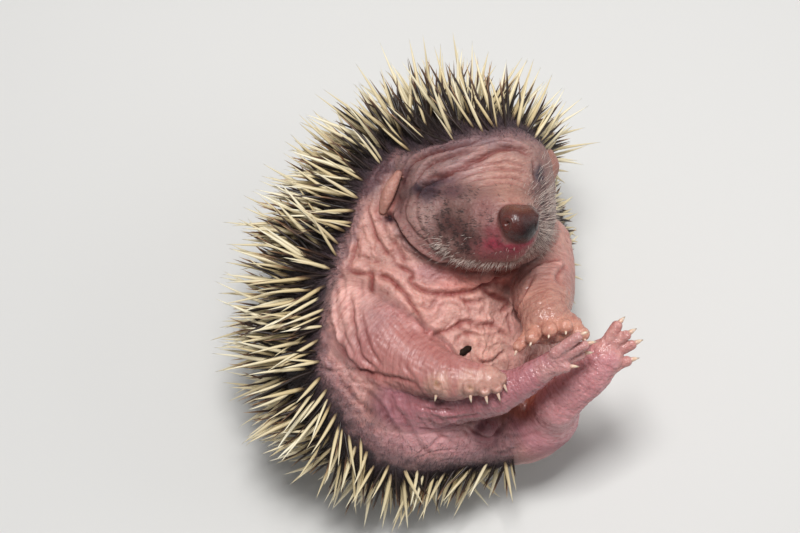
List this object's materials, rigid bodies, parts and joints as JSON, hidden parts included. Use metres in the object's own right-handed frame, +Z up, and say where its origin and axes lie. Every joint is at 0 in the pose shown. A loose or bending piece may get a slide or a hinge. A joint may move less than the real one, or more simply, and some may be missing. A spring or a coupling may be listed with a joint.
{
  "type": "young hedgehog",
  "caption": "Life-size still model of a very young hedgehog asleep on its back, half curled, with bare wrinkled belly, folded legs and a coat of pale spines.",
  "frame": {"origin": "on the flat the animal rests on, straight under the lowest point of its rounded back", "axes": "+Z up, +Y towards the head end, +X towards the animal's left side"},
  "size_m": [0.0754, 0.0805, 0.0609],
  "materials": {
    "skin": "soft bare pink skin with fine wrinkles",
    "mask": "grey-mauve skin of the face and tail with short stubble",
    "paw": "moist pink skin with pads",
    "ear": "thin soft pink skin",
    "nose": "moist dark red-brown nose leather",
    "claw": "pale translucent horn, stated as matte plastic",
    "spines": "cream and dark banded keratin spines, stated as matte plastic",
    "scab": "dry dark stump of the navel cord"
  },
  "bodies": {
    "root": {"nose": "nose", "ear_right": "ear", "ear_left": "ear", "eyelid_right": "mask", "eyelid_left": "mask", "head": "mask", "tail": "mask", "neck": "skin", "trunk": "skin", "navel": "scab", "spine_coat": "spines", "forepaw_right": "paw", "hindfoot_right": "paw", "upper_arm_right": "skin", "forearm_right": "skin", "thigh_right": "skin", "shank_right": "skin", "forepaw_left": "paw", "hindfoot_left": "paw", "upper_arm_left": "skin", "forearm_left": "skin", "thigh_left": "skin", "shank_left": "skin", "claw_fore_right_1": "claw", "claw_fore_right_2": "claw", "claw_fore_right_3": "claw", "claw_fore_right_4": "claw", "claw_fore_right_5": "claw", "claw_fore_left_1": "claw", "claw_fore_left_2": "claw", "claw_fore_left_3": "claw", "claw_fore_left_4": "claw", "claw_fore_left_5": "claw", "claw_hind_right_1": "claw", "claw_hind_right_2": "claw", "claw_hind_right_3": "claw", "claw_hind_right_4": "claw", "claw_hind_left_1": "claw", "claw_hind_left_2": "claw", "claw_hind_left_3": "claw", "claw_hind_left_4": "claw"}
  },
  "joints": []
}
